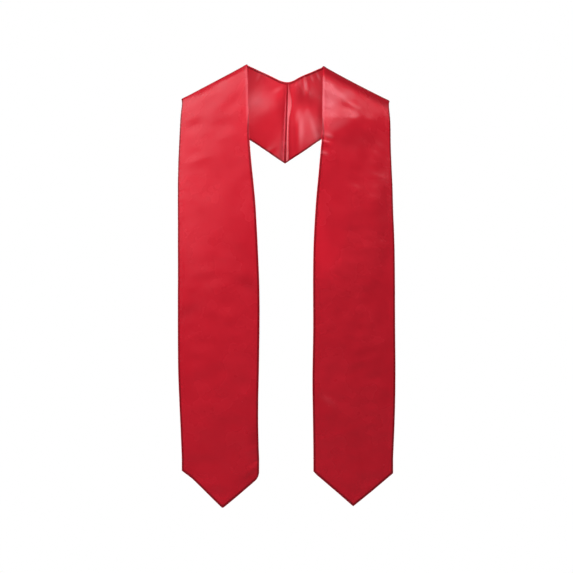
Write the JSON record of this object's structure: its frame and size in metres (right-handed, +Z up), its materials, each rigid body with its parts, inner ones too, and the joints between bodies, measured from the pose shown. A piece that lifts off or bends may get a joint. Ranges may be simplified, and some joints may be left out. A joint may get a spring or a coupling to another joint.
{
  "type": "graduation stole",
  "caption": "Plain satin graduation stole: two lined strips joined by a mitred seam behind the neck, hanging down the chest to pointed hems, in its worn form.",
  "frame": {"origin": "midway between the two shoulder folds, level with the underside of the left one, where the stole sits on the shoulders", "axes": "+Z up, +Y towards the wearer's back, +X to the right as seen from the front"},
  "size_m": [0.3772, 0.2328, 0.7728],
  "materials": {
    "satin_face": "smooth red satin with a soft sheen",
    "satin_lining": "the same red satin, seen inside the neck",
    "seam_allowance": "pressed-open edges of the centre seam"
  },
  "bodies": {
    "root": {"left_face": "satin_face", "left_lining": "satin_lining", "left_seam_allowance": "seam_allowance", "right_face": "satin_face", "right_lining": "satin_lining", "right_seam_allowance": "seam_allowance"}
  },
  "joints": []
}
